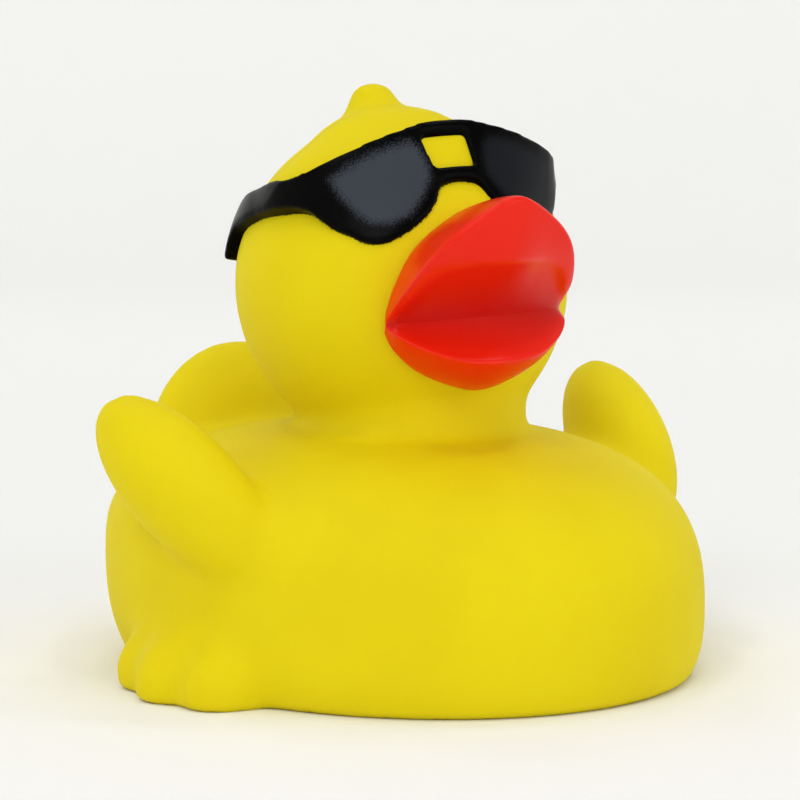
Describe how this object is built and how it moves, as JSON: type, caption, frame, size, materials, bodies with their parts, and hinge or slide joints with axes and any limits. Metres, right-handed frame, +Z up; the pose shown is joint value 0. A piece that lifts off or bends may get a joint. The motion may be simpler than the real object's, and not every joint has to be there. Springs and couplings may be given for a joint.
{
  "type": "rubber duck",
  "caption": "Hollow vinyl bath duck with raised wings, an open bill and moulded sunglasses, on a flat base.",
  "frame": {"origin": "under the middle of the duck's box, on the surface that it stands on", "axes": "+Z up from the flat base to the tuft, -Y towards the bill, so +Y is the tail; +X is the duck's left side"},
  "size_m": [0.099, 0.0966, 0.0861],
  "materials": {
    "vinyl": "satin",
    "bill_paint": "gloss",
    "glasses_paint": "gloss",
    "lens_paint": "satin"
  },
  "bodies": {
    "root": {"duck": "vinyl"}
  },
  "joints": []
}
